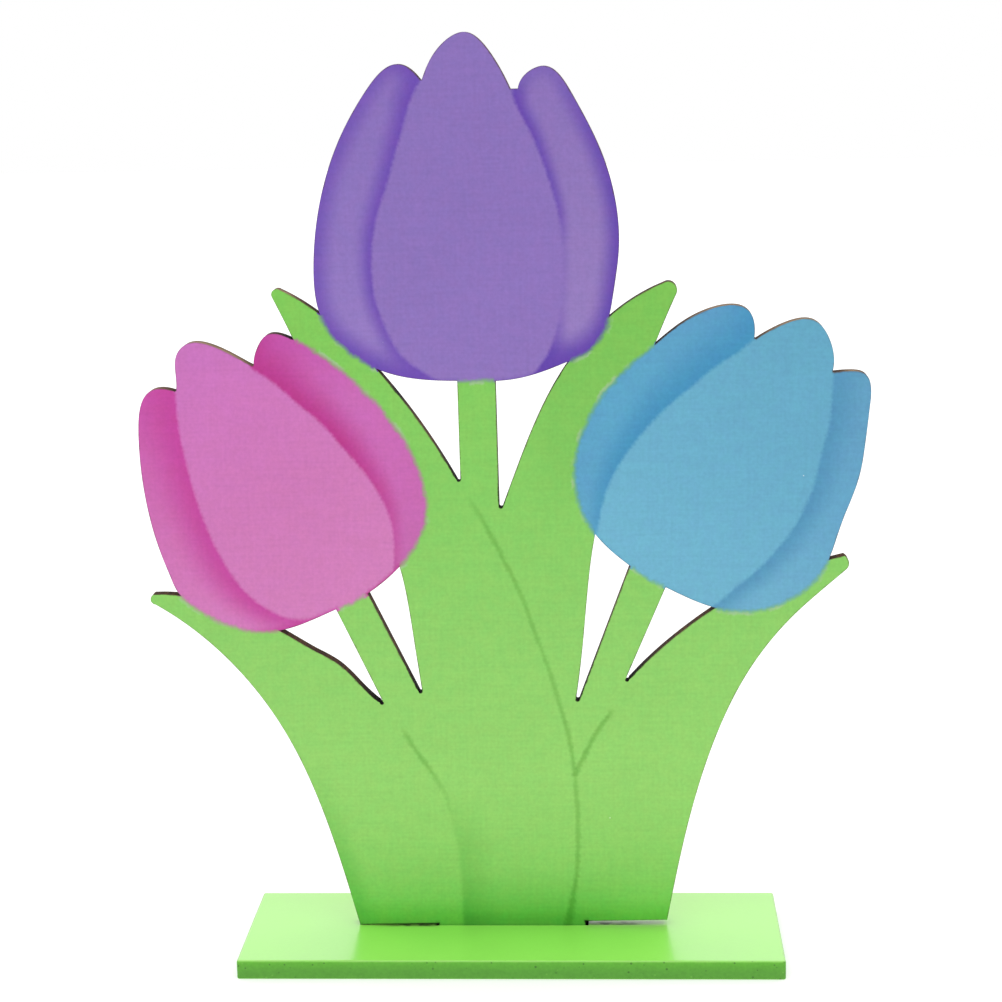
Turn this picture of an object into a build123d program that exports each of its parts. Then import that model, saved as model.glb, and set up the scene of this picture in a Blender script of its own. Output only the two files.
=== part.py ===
from build123d import *
import os

# Three cut-out tulips on one board that stands by its tab in a slotted base.
# Sizes are in millimetres. The origin is the middle of the base's underside, +Z is up and the printed
# front faces -Y. Points of the panel are (X, height above the top of the base).

# Base
BASE_LENGTH = 150.0
BASE_DEPTH = 50.0
BASE_THICKNESS = 5.4
BASE_CORNER_RADIUS = 0.7
BASE_EDGE_RADIUS = 0.35

# Panel, tab and slot
PANEL_THICKNESS = 4.0
PANEL_SETBACK = 2.3  # middle of the panel behind the middle of the base
TAB_WIDTH = 41.7
TAB_MIDDLE = -0.35
TAB_FLOOR_GAP = 0.3  # end of the tab above the underside of the base
SLOT_SIDE_CLEARANCE = 0.15
SLOT_END_CLEARANCE = 0.7  # the open ends of the slot show beside the tab

# Foot of the panel, which stands a little crooked in the slot: the left corner rests on the base
FOOT_LEFT = -43.6
FOOT_RIGHT = 43.5
RIGHT_FOOT_LIFT = 1.5

# Stems and the windows beside them
PURPLE_STEM_WIDTH = 10.3
PINK_STEM_WIDTH = 10.0
BLUE_STEM_WIDTH = 11.4
STEM_COVERED = 8.0  # length of a stem that lies within its flower
PIERCE_DIAMETER = 1.0  # round end of a window, where the cut began

# Flowers: top of the stem, lean to the right in degrees, the lowest point of the window on each side of
# the stem, and the edge in the flower's own frame, (across, up) from the top of the stem. The edge runs
# up the left petal, over the middle petal and down the right petal.
PURPLE_FLOWER = dict(
    stem_top=(-7.2, 155.9),
    lean=0.0,
    stem_width=PURPLE_STEM_WIDTH,
    windows=((-12.6, 128.7), (-1.2, 121.2)),
    left=[(-12.8, 0.3), (-25.8, 3.1), (-33.9, 8.0), (-40.6, 15.8), (-43.0, 31.0), (-38.2, 57.0),
          (-28.2, 76.4), (-19.8, 84.1), (-13.0, 80.0)],
    middle=[(-12.6, 80.0), (-10.6, 84.6), (-7.1, 89.2), (-1.2, 92.1), (4.7, 87.7), (10.6, 77.2)],
    right=[(12.6, 77.2), (14.1, 80.4), (19.4, 83.0), (27.0, 75.3), (35.6, 57.0), (38.8, 35.5), (37.3, 23.8),
           (32.6, 9.8), (23.2, 4.2), (12.0, 0.6)],
)
PINK_FLOWER = dict(
    stem_top=(-42.7, 94.4),
    lean=-27.5,
    stem_width=PINK_STEM_WIDTH,
    windows=((-35.5, 65.7), (-24.6, 68.9)),
    left=[(-11.0, 0.9), (-20.4, 2.2), (-31.6, 8.4), (-39.0, 18.6), (-41.4, 25.0), (-40.9, 31.2), (-39.9, 38.0),
          (-35.8, 53.0), (-29.4, 67.4), (-20.4, 77.5), (-13.8, 74.3)],
    middle=[(-13.4, 74.3), (-10.7, 79.5), (-8.2, 82.9), (-4.8, 84.0), (-0.1, 81.7), (8.3, 70.3)],
    right=[(8.7, 70.3), (12.3, 74.3), (16.1, 75.8), (21.0, 72.2), (29.4, 56.5), (34.7, 31.5), (28.6, 10.3),
           (16.9, 3.0), (9.0, 0.9)],
)
BLUE_FLOWER = dict(
    stem_top=(38.5, 100.8),
    lean=31.5,
    stem_width=BLUE_STEM_WIDTH,
    windows=((19.1, 66.4), (32.8, 72.0)),
    left=[(-11.0, 1.2), (-19.4, 3.6), (-31.8, 14.6), (-36.5, 31.0), (-31.2, 57.0), (-24.4, 71.0), (-16.5, 76.7),
          (-9.6, 71.1)],
    middle=[(-9.1, 71.1), (-4.9, 78.2), (1.8, 83.3), (7.6, 81.2), (13.0, 74.1)],
    right=[(13.4, 74.1), (16.8, 76.5), (20.2, 78.0), (27.5, 69.2), (34.8, 52.0), (37.2, 40.0), (39.8, 26.0),
           (34.6, 12.2), (22.6, 3.2), (12.0, 0.9)],
)
FLOWERS = [PURPLE_FLOWER, PINK_FLOWER, BLUE_FLOWER]


def beside(window, side):
    # Left (-1) or right (+1) side of a window's round end, where that edge of the window starts
    return (window[0] + side * PIERCE_DIAMETER / 2, window[1])


# Leaves: the edge that climbs to the tip, the middle of the rounded tip and the edge that comes down from it.
# Each starts and ends at the foot or at the window beside it.
LEAF_ROOT = (0.0, 30.0)
LEFT_FOOT = (FOOT_LEFT, 0.0)
RIGHT_FOOT = (FOOT_RIGHT, RIGHT_FOOT_LIFT)
LEFT_OUTER_LEAF = dict(
    up=[LEFT_FOOT, (-52.6, 32.6), (-64.7, 60.6), (-80.1, 80.6), (-97.6, 94.3)],
    tip=(-98.9, 96.0),
    down=[(-98.1, 97.1), (-80.0, 94.4), (-61.9, 85.8), (-53.3, 80.5), (-47.4, 77.0), (-40.7, 70.2),
          beside(PINK_FLOWER["windows"][0], -1)],
)
LEFT_INNER_LEAF = dict(
    up=[beside(PINK_FLOWER["windows"][1], 1), (-26.9, 90.6), (-29.3, 104.1), (-42.0, 134.0), (-56.4, 167.8),
        (-61.7, 179.2)],
    tip=(-61.5, 180.9),
    down=[(-59.9, 181.3), (-49.4, 174.8), (-33.2, 158.4), (-25.1, 147.9),
          beside(PURPLE_FLOWER["windows"][0], -1)],
)
RIGHT_INNER_LEAF = dict(
    up=[beside(PURPLE_FLOWER["windows"][1], 1), (4.6, 135.0), (16.6, 159.1), (29.9, 173.7), (43.4, 181.6)],
    tip=(46.3, 181.2),
    down=[(46.8, 178.8), (42.1, 168.0), (32.0, 140.0), (24.2, 112.2), (21.4, 89.5),
          beside(BLUE_FLOWER["windows"][0], -1)],
)
RIGHT_OUTER_LEAF = dict(
    up=[beside(BLUE_FLOWER["windows"][1], 1), (44.3, 82.7), (50.3, 87.5), (55.7, 91.4), (75.0, 101.4),
        (92.0, 106.6)],
    tip=(93.1, 105.5),
    down=[(92.6, 102.8), (86.5, 97.5), (78.6, 90.2), (65.9, 73.8), (56.3, 53.1), (49.5, 30.3), RIGHT_FOOT],
)
LEAVES = [LEFT_OUTER_LEAF, LEFT_INNER_LEAF, RIGHT_INNER_LEAF, RIGHT_OUTER_LEAF]


def in_panel(flower, across, up):
    # Point of a flower's own frame, turned by its lean about the top of its stem
    return Vector(*flower["stem_top"]) + Vector(across, up).rotate(Axis.Z, -flower["lean"])


def flower_face(flower):
    # Three petals in one edge: a smooth curve for each, with a small flat floor in the notches between them
    left = [(0, 0)] + flower["left"]
    middle = flower["middle"]
    right = flower["right"] + [(0, 0)]
    edge = [
        Spline(*left),
        Line(left[-1], middle[0]),
        Spline(*middle),
        Line(middle[-1], right[0]),
        Spline(*right),
    ]
    return Pos(*flower["stem_top"]) * Rot(0, 0, -flower["lean"]) * make_face(edge)


def stem_face(flower):
    # Straight stem from its two windows up into the flower
    left_window, right_window = flower["windows"]
    half = flower["stem_width"] / 2
    left_edge = [beside(left_window, 1), in_panel(flower, -half, 0), in_panel(flower, -half, STEM_COVERED)]
    right_edge = [in_panel(flower, half, STEM_COVERED), in_panel(flower, half, 0), beside(right_window, -1)]
    return make_face(Polyline(*left_edge, *right_edge, close=True))


def leaf_face(leaf):
    # Two smooth edges that meet in a rounded tip, closed through the clump that the leaf grows from
    edge = [
        Spline(*leaf["up"]),
        ThreePointArc(leaf["up"][-1], leaf["tip"], leaf["down"][0]),
        Spline(*leaf["down"]),
        Polyline(leaf["down"][-1], LEAF_ROOT, leaf["up"][0]),
    ]
    return make_face(edge)


def clump_face():
    # Where all leaves and stems run together, from the foot up to the lowest point of every window
    windows = [*PINK_FLOWER["windows"], *PURPLE_FLOWER["windows"], *BLUE_FLOWER["windows"]]
    top = [beside(window, side) for window in windows for side in (-1, 1)]
    return make_face(Polyline(LEFT_FOOT, *top, RIGHT_FOOT, close=True))


def tab_corners():
    # Where the sides of the tab meet the foot line
    slope = RIGHT_FOOT_LIFT / (FOOT_RIGHT - FOOT_LEFT)
    sides = [TAB_MIDDLE - TAB_WIDTH / 2, TAB_MIDDLE + TAB_WIDTH / 2]
    return [(side, (side - FOOT_LEFT) * slope) for side in sides]


def tab_face():
    # Straight tab that stops just short of the underside of the base
    left, right = tab_corners()
    end = TAB_FLOOR_GAP - BASE_THICKNESS
    return make_face(Polyline(LEAF_ROOT, left, (left[0], end), (right[0], end), right, close=True))


def tulip_panel():
    outline = clump_face() + tab_face()
    for leaf in LEAVES:
        outline += leaf_face(leaf)
    for flower in FLOWERS:
        outline += stem_face(flower)
        outline += flower_face(flower)
    for flower in FLOWERS:
        for window in flower["windows"]:
            outline -= Pos(*window) * Circle(PIERCE_DIAMETER / 2)
    standing = Plane(origin=(0, PANEL_SETBACK, BASE_THICKNESS), x_dir=(1, 0, 0), z_dir=(0, -1, 0))
    return extrude(standing * outline, PANEL_THICKNESS / 2, both=True)


def base_plate():
    plate = extrude(RectangleRounded(BASE_LENGTH, BASE_DEPTH, BASE_CORNER_RADIUS), BASE_THICKNESS)
    plate = fillet(plate.faces().sort_by(Axis.Z)[-1].edges(), BASE_EDGE_RADIUS)
    plate = fillet(plate.faces().sort_by(Axis.Z)[0].edges(), BASE_EDGE_RADIUS)
    slot_length = TAB_WIDTH + 2 * SLOT_END_CLEARANCE
    slot_width = PANEL_THICKNESS + 2 * SLOT_SIDE_CLEARANCE
    slot = Pos(TAB_MIDDLE, PANEL_SETBACK) * Rectangle(slot_length, slot_width)
    return plate - extrude(slot, BASE_THICKNESS)


os.makedirs("parts", exist_ok=True)
export_step(tulip_panel(), "parts/tulip_panel.step")
export_step(base_plate(), "parts/base_plate.step")
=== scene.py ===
import math
from functools import reduce

import bpy
import numpy as np
from mathutils import Matrix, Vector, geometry


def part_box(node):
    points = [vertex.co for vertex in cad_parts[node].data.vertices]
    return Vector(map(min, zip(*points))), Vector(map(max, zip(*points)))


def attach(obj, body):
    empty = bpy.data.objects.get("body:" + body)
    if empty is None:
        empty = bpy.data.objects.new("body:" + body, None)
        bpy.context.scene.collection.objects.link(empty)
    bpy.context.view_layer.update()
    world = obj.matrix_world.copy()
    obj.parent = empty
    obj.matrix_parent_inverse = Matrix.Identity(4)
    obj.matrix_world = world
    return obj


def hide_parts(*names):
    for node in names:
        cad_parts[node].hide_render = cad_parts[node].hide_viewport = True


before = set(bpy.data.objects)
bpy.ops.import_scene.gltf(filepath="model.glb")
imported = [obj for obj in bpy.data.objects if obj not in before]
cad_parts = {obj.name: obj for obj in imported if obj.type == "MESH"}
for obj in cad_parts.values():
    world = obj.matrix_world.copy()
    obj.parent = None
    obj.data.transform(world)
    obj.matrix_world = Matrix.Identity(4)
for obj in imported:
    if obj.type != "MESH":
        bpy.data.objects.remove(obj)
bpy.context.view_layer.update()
mm = 0.001
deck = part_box("base_plate")[1][2] / mm  # top of the base: heights on the panel count from it
mostPairs = 3000000  # points times segments worked out at once
tiny = 1e-12  # keeps a division from zero


# Small sums that several pieces use

def paint(screen):
    # Screen colour from 0 to 255 made linear: c / 12.92 in the dark part,
    # above it (c + 0.055) / 1.055 to the power 2.4
    c = np.array(screen) / 255
    return np.where(c <= 0.04045, c / 12.92, ((c + 0.055) / 1.055) ** 2.4)


def rise(low, high, x):
    # Soft step: 0 below low, 1 above high, 3t² - 2t³ between them
    t = np.clip((x - low) / (high - low), 0, 1)
    return t * t * (3 - 2 * t)


def blend(a, b, share):
    # a where the share is 0, b where it is 1, straight between them
    return a * (1 - share) + b * share


def byHeight(rows, height):
    # Table rows (height, value, value...) read between rows by straight lines
    rows = np.array(rows, float)
    return np.stack([np.interp(height, rows[:, 0], column) for column in rows[:, 1:].T], -1)


def colourByHeight(rows, height):
    # Rows (height, red, green, blue) in screen colours, made linear and read between rows by straight lines
    return byHeight([(row[0], *paint(row[1:])) for row in rows], height)


def smoothLine(points, step):
    # Cubic through the points over their chord length, with no second slope at the two ends:
    # the second slopes come from one linear system, and each span is its two ends plus two cubic terms
    p = np.array(points, float)
    count = len(p)
    way = np.diff(p, axis=0)
    h = np.linalg.norm(way, axis=1)
    s = np.concatenate(([0], np.cumsum(h)))
    system, right, inner = np.eye(count), np.zeros_like(p), np.arange(1, count - 1)
    system[inner, inner - 1] = h[:-1]
    system[inner, inner] = 2 * (h[:-1] + h[1:])
    system[inner, inner + 1] = h[1:]
    right[1:-1] = 6 * np.diff(way / h[:, None], axis=0)
    bend = np.linalg.solve(system, right)
    at = np.linspace(0, s[-1], max(2, round(s[-1] / step)))
    k = np.clip(np.searchsorted(s, at, side="right") - 1, 0, count - 2)
    span, a, b = h[k][:, None], (s[k + 1] - at)[:, None], (at - s[k])[:, None]
    return ((bend[k] * a ** 3 + bend[k + 1] * b ** 3) / (6 * span)
            + (p[k] / span - bend[k] * span / 6) * a + (p[k + 1] / span - bend[k + 1] * span / 6) * b)


def inParts(points, segments):
    # Even parts of the points, few enough that no part has more than mostPairs pairs with the segments
    return np.array_split(points, len(points) * segments // mostPairs + 1)


def offLine(points, start, end):
    # Nearest of the segments from start to end: the foot of the perpendicular, held between the two ends.
    # Gives each point's distance, its side (1 on the left, -1 on the right) and its place along the segments
    run = end - start
    square = np.maximum((run ** 2).sum(1), tiny)
    found = []
    for part in inParts(points, len(start)):
        gapX, gapY = part[:, :1] - start[:, 0], part[:, 1:] - start[:, 1]
        share = np.clip((gapX * run[:, 0] + gapY * run[:, 1]) / square, 0, 1)
        away = (gapX - share * run[:, 0]) ** 2 + (gapY - share * run[:, 1]) ** 2
        row, best = np.arange(len(part)), away.argmin(1)
        side = run[best, 0] * gapY[row, best] - run[best, 1] * gapX[row, best]
        found.append((np.sqrt(away[row, best]), np.where(side < 0, -1, 1), best + share[row, best]))
    return [np.concatenate(column) for column in zip(*found)]


def within(points, start, end):
    # Even-odd rule: inside when a ray to the right crosses an odd number of segments
    climb = np.where(end[:, 1] == start[:, 1], 1, end[:, 1] - start[:, 1])
    lean = (end[:, 0] - start[:, 0]) / climb
    found = []
    for part in inParts(points, len(start)):
        x, y = part[:, :1], part[:, 1:]
        spans = (start[:, 1] > y) != (end[:, 1] > y)
        found.append((spans & (x < start[:, 0] + (y - start[:, 1]) * lean)).sum(1) % 2 == 1)
    return np.concatenate(found)


# Boards: a rim from the CAD face, a profile carried along it and a filled front and back

boards = dict(
    levelSlack=0.002,  # mm, how level a flat face has to be
    straight=4,  # an edge so many times as long as its neighbour is straight
    leastCosine=0.6,  # of half a turn, so a sharp corner doesn't throw a row far in
    leastRoom=0.12,  # share of an inset that is kept at an outward corner
    ringSlack=1e-6,
    sharpFrom=38.0,  # degrees, steeper folds are shaded sharp
)


def faceRim(node, across, up, depth, level):
    # Rim of one flat face of a CAD node: the edges at that level that a single triangle uses.
    # Gives the rim points in mm, material on the left, and for each the place of the next one
    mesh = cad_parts[node].data
    points = np.empty(len(mesh.vertices) * 3, np.float32)
    mesh.vertices.foreach_get("co", points)
    corners = np.empty(len(mesh.loops), np.int32)
    mesh.loops.foreach_get("vertex_index", corners)
    points = np.round(points.reshape(-1, 3).astype(float) / mm, 3)
    points, same = np.unique(points, axis=0, return_inverse=True)
    triangles = same.ravel()[corners].reshape(-1, 3)
    triangles = triangles[(abs(points[triangles, depth] - level) < boards["levelSlack"]).all(1)]
    edges = np.concatenate((triangles[:, (0, 1)], triangles[:, (1, 2)], triangles[:, (2, 0)]))
    same, uses = np.unique(np.sort(edges, 1), axis=0, return_inverse=True, return_counts=True)[1:]
    edges = edges[uses[same.ravel()] == 1]
    edges = edges[np.argsort(edges[:, 0])]
    return points[edges[:, 0]][:, (across, up)], np.searchsorted(edges[:, 0], edges[:, 1])


def fineRim(points, onward, step, corner):
    # Each rim edge cut into short pieces along a cubic. At a smooth point the two edges share one slope,
    # weighted towards the shorter edge, or that of the longer edge where it is so long that it is straight.
    # Where they turn by more than corner degrees each keeps its own. Gives the fine rim, the place of each
    # next point and the outward corners
    count = len(points)
    before = np.empty(count, int)
    before[onward] = np.arange(count)
    run = points[onward] - points
    length = np.linalg.norm(run, axis=1)[:, None]
    way = run / length
    last = way[before]
    turn = np.degrees(np.arctan2(last[:, 0] * way[:, 1] - last[:, 1] * way[:, 0], (last * way).sum(1)))
    sharp = (abs(turn) > corner)[:, None]
    shared = last * length + way * length[before]
    shared = np.where(length[before] > boards["straight"] * length, last, shared)
    shared = np.where(length > boards["straight"] * length[before], way, shared)
    shared /= np.linalg.norm(shared, axis=1)[:, None]
    leave = np.where(sharp, way, shared) * length
    arrive = np.where(sharp[onward], way, shared[onward]) * length
    pieces = np.maximum(1, np.round(length[:, 0] / step)).astype(int)
    first = np.cumsum(pieces) - pieces
    edge = np.repeat(np.arange(count), pieces)
    t = ((np.arange(len(edge)) - first[edge]) / pieces[edge])[:, None]
    line = (points[edge] * (2 * t ** 3 - 3 * t ** 2 + 1) + leave[edge] * (t ** 3 - 2 * t ** 2 + t)
            + points[onward][edge] * (3 * t ** 2 - 2 * t ** 3) + arrive[edge] * (t ** 3 - t ** 2))
    follow = np.arange(1, len(edge) + 1)
    follow[first + pieces - 1] = first[onward]
    return line, follow, points[turn > corner]


def carryProfile(rim, onward, corners, insets):
    # Profile carried along the rim: row k is the rim moved inwards by insets[k] along its normal, the mean of
    # the two edge normals over the cosine of half the turn. Within 1 mm of an outward corner it shrinks
    before = np.empty(len(rim), int)
    before[onward] = np.arange(len(rim))
    run = rim[onward] - rim
    way = run / np.linalg.norm(run, axis=1)[:, None]
    left = np.stack((-way[:, 1], way[:, 0]), 1)
    normal = left + left[before]
    normal /= np.linalg.norm(normal, axis=1)[:, None]
    normal /= np.maximum((normal * left).sum(1), boards["leastCosine"])[:, None]
    room = 1.0
    if len(corners):
        room = np.clip(offLine(rim, corners, corners)[0], boards["leastRoom"], 1)[:, None]
    insets = np.broadcast_to(np.array(insets, float).reshape(len(insets), -1), (len(insets), len(rim)))
    return np.stack([rim + normal * room * inset[:, None] for inset in insets])


def honeycomb(rim, onward, step, clear, far=6.0):
    # Honeycomb grid points inside the rim, at least clear away from it, and how far away each one is, up to
    # far. A row is inside between each odd crossing of the rim and the next; only nearby edges are measured
    start, end = rim, rim[onward]
    low, high = np.minimum(start, end), np.maximum(start, end)
    grid, away = [], []
    for k, y in enumerate(np.arange(low[:, 1].min(), high[:, 1].max(), step * math.sqrt(0.75))):
        x = np.arange(low[:, 0].min(), high[:, 0].max(), step) + k % 2 * step / 2
        cut = (start[:, 1] > y) != (end[:, 1] > y)
        share = (y - start[cut, 1]) / (end[cut, 1] - start[cut, 1])
        crossings = np.sort(start[cut, 0] + share * (end[cut, 0] - start[cut, 0]))
        x = x[np.searchsorted(crossings, x) % 2 == 1]
        row = np.stack((x, np.full(len(x), y)), 1)
        near = (low[:, 1] < y + far) & (high[:, 1] > y - far)
        grid.append(row)
        away.append(np.minimum(offLine(row, start[near], end[near])[0], far))
    grid, away = np.concatenate(grid), np.concatenate(away)
    return grid[away > clear], away[away > clear]


def fillRing(ring, onward, grid):
    # Delaunay triangles over the ring and the grid points inside it, with every ring edge kept. Those whose
    # corners all lie on the ring stay only if their middle is inside it
    points = np.concatenate((ring, grid))
    edges = np.stack((np.arange(len(ring)), onward), 1)
    found = geometry.delaunay_2d_cdt(points.tolist(), edges.tolist(), [], 0, boards["ringSlack"], False)
    if len(found[0]) != len(points):
        raise ValueError("the ring crosses itself")
    triangles = np.array(found[2])
    doubtful = np.flatnonzero((triangles < len(ring)).all(1))
    outside = ~within(points[triangles[doubtful]].mean(1), ring, ring[onward])
    triangles = np.delete(triangles, doubtful[outside], 0)
    a, b, c = (points[triangles[:, k]] for k in range(3))
    area = (b[:, 0] - a[:, 0]) * (c[:, 1] - a[:, 1]) - (b[:, 1] - a[:, 1]) * (c[:, 0] - a[:, 0])
    return np.where(area[:, None] > 0, triangles, triangles[:, ::-1])


def makeBoard(name, rows, onward, frontGrid, backGrid, place, depths, turns):
    # Closed board: quads between the rows of the profile, triangles over the front and the back.
    # turns gives the row where the wall starts and where it ends, for the three finishes
    high, count = rows.shape[:2]
    points = np.concatenate((rows.reshape(-1, 2), frontGrid, backGrid))
    gridDepth = np.repeat((0, depths[-1]), (len(frontGrid), len(backGrid)))
    depth = np.concatenate((np.repeat(depths, count), gridDepth))
    k, i = np.meshgrid(np.arange(high - 1), np.arange(count), indexing="ij")
    a, b = k * count + i, k * count + onward[i]
    walls = np.stack((a, a + count, b + count, b), 2).reshape(-1, 4)
    wallFinish = np.where(k < turns[0], 0, np.where(k < turns[1], 1, 2)).ravel()
    front = fillRing(rows[0], onward, frontGrid)
    front = np.where(front < count, front, front + (high - 1) * count)
    back = fillRing(rows[-1], onward, backGrid)[:, ::-1]
    back = np.where(back < count, back + (high - 1) * count, back + (high - 1) * count + len(frontGrid))
    mesh = bpy.data.meshes.new(name)
    faces = walls.tolist() + front.tolist() + back.tolist()
    mesh.from_pydata((place(points, depth) * mm).tolist(), [], faces)
    finish = np.concatenate((wallFinish, np.zeros(len(front), int), np.full(len(back), 2)))
    mesh.polygons.foreach_set("material_index", finish.astype(np.int32))
    mesh.polygons.foreach_set("use_smooth", np.ones(len(finish), bool))
    mesh.set_sharp_from_angle(angle=math.radians(boards["sharpFrom"]))
    mesh.validate()
    piece = bpy.data.objects.new(name, mesh)
    bpy.context.scene.collection.objects.link(piece)
    print(name, "has", len(points), "points and", 2 * len(walls) + len(front) + len(back), "triangles")
    return piece, points


def setValues(piece, name, values):
    # One number, place or colour for each point of the mesh, under a name that the finish reads
    kind, field = ("FLOAT", "value") if values.ndim == 1 else ("FLOAT_VECTOR", "vector")
    piece.data.attributes.new(name, kind, "POINT").data.foreach_set(field, values.astype(np.float32).ravel())


# Node helpers, for the finish that was started last

bench = dict(tree=None)


def newFinish(name):
    # Finish with the shader that it starts with; nodes are added to it from now on
    finish = bpy.data.materials.new(name)
    finish.use_nodes = True
    bench["tree"] = finish.node_tree
    return finish, finish.node_tree.nodes["Principled BSDF"]


def setInputs(node, inputs):
    # Inputs of a node, each given as a value or as another node's output
    for key, value in inputs.items():
        if isinstance(value, bpy.types.NodeSocket):
            node.id_data.links.new(value, node.inputs[key])
        else:
            node.inputs[key].default_value = value


def addNode(kind, settings=None, inputs=None):
    # New node with its own settings and inputs
    node = bench["tree"].nodes.new("ShaderNode" + kind)
    for key, value in (settings or {}).items():
        setattr(node, key, value)
    setInputs(node, inputs or {})
    return node


def calc(sign, a, b=0.0):
    # One sum of two values, or of one value where the sign needs no more
    return addNode("Math", {"operation": sign}, {0: a, 1: b}).outputs[0]


def plus(*values):
    # All values added, one after another
    return reduce(lambda a, b: calc("ADD", a, b), values)


def times(*values):
    # All values multiplied, one after another
    return reduce(lambda a, b: calc("MULTIPLY", a, b), values)


def soft(value, low, high, start=0.0, end=1.0):
    # Soft step from start to end as the value goes from low to high
    return addNode("MapRange", {"interpolation_type": "SMOOTHSTEP"},
                   {0: value, 1: low, 2: high, 3: start, 4: end}).outputs[0]


def mixColour(share, a, b, way="MIX"):
    # Colour a where the share is 0, b where it is 1, or a times b with the way MULTIPLY. Colours are another
    # node's output or three numbers: screen colours to mix, plain factors to multiply
    linear = paint if way == "MIX" else tuple
    a, b = (c if isinstance(c, bpy.types.NodeSocket) else (*linear(c), 1.0) for c in (a, b))
    return addNode("Mix", {"data_type": "RGBA", "blend_type": way}, {0: share, 6: a, 7: b}).outputs[2]


def stretched(where, scales):
    # Place times a scale along each axis
    return addNode("Mapping", {}, {0: where, 3: scales}).outputs[0]


def grain(where, scale, detail=2.0, bend=0.0):
    # Noise from 0 to 1, finer with a larger scale (per metre)
    return addNode("TexNoise", {}, {"Vector": where, "Scale": scale, "Detail": detail,
                                    "Distortion": bend}).outputs[0]


def readValue(name, output="Fac"):
    # What setValues stored under that name
    return addNode("Attribute", {"attribute_name": name}).outputs[output]


def dotted(where, scale, radius, share):
    # Round dots: a share of Voronoi cells, each with a dot of that radius (in cells) at its middle, soft
    # outside 0.6 of it
    cells = addNode("TexVoronoi", {}, {"Vector": where, "Scale": scale}).outputs
    luck = addNode("SeparateColor", {}, {0: cells["Color"]}).outputs[0]
    dot = soft(cells["Distance"], radius * 0.6, radius, 1.0, 0.0)
    return times(dot, calc("LESS_THAN", luck, share))


def sprinkle(where, colour, look, kind, *limits):
    # Dots of one kind laid over the colour by their force, within the limits. Gives the colour and the dots
    dots = times(dotted(where, *look[kind]), *limits)
    return mixColour(times(dots, look[kind + "Force"]), colour, look[kind + "Colour"]), dots


def dress(shader, look, colour, rough, shine, height):
    # Main inputs of the shader, and bumps by the height, as the look's bump gives (strength, metres)
    strength, distance = look["bump"]
    bump = addNode("Bump", {}, {"Strength": strength, "Distance": distance, "Height": height})
    setInputs(shader, {"Base Color": colour, "Roughness": rough, "Specular IOR Level": shine,
                       "Normal": bump.outputs[0]})


# Tulip panel: the cut board with its print

panelCut = dict(
    node="tulip_panel",
    step=0.6,  # along the cut
    corner=18.0,  # sharper turns stay sharp
    insets=[0.45, 0.2, 0.05, 0, 0, 0, 0, 0, 0, 0, 0.05, 0.2, 0.6],
    depths=[0, 0, 0.03, 0.14, 0.35, 1.1, 2.0, 2.9, 3.65, 3.86, 3.97, 4, 4],
    walls=(3, 9),  # rows where the burnt wall starts and ends
    frontStep=0.8,
    frontClear=0.8,
    backStep=3.0,
    backClear=1.6,
)

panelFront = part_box(panelCut["node"])[0][1] / mm
panelRim, panelNext = faceRim(panelCut["node"], 0, 2, 1, panelFront)
panelRim, panelNext, panelCorners = fineRim(panelRim - (0, deck), panelNext, panelCut["step"],
                                            panelCut["corner"])
panelRows = carryProfile(panelRim, panelNext, panelCorners, panelCut["insets"])
frontGrid, frontAway = honeycomb(panelRim, panelNext, panelCut["frontStep"], panelCut["frontClear"])
backGrid, backAway = honeycomb(panelRim, panelNext, panelCut["backStep"], panelCut["backClear"])
panel, panelPoints = makeBoard(
    "tulipPanel", panelRows, panelNext, frontGrid, backGrid,
    lambda p, d: np.stack((p[:, 0], panelFront + d, deck + p[:, 1]), 1),
    panelCut["depths"], panelCut["walls"])

# Laser burn marks, and painted light: a painted highlight on upward tips, painted shade at the tab's corners
# and under the foot
burnsAndPaintedLight = dict(
    # Charred places, where a cut began or turned: across, height above the base, reach in mm
    char=[(-35.5, 65.7, 9), (-24.6, 68.9, 9), (-12.6, 128.7, 8), (-1.2, 121.2, 8), (19.1, 66.4, 13),
          (32.8, 72.0, 10), (43.6, 171.3, 4), (13.5, 156.0, 3), (-28.0, 153.0, 3), (-21.2, 0.4, 3),
          (20.5, 1.1, 3), (-56.9, 168.2, 2.5)],
    # Painted highlight: petal and leaf tips that face up, where the cut is paler, in the same way
    pale=[(-97.0, 154.5, 4), (-82.5, 167.1, 9), (-74.2, 164.6, 8), (-58.1, 180.6, 3.5), (58.8, 175.2, 9),
          (79.5, 171.4, 10), (93.7, 157.3, 2.5)],
    # Painted shade on the front at the tab's corners, and a painted shadow of the gap along the left of the
    # foot
    dots=[(-21.3, 0.3), (20.6, 1.1)],  # on the front, where the cut turned into the tab
    gapShadeDotReach=(0.3, 0.9),
    line=[(-43.2, 0.0), (-21.3, 0.38)],  # along the left of the foot
    gapShadeLineReach=(0.1, 0.4),
    gapShadeLineForce=0.85,
)

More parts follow.
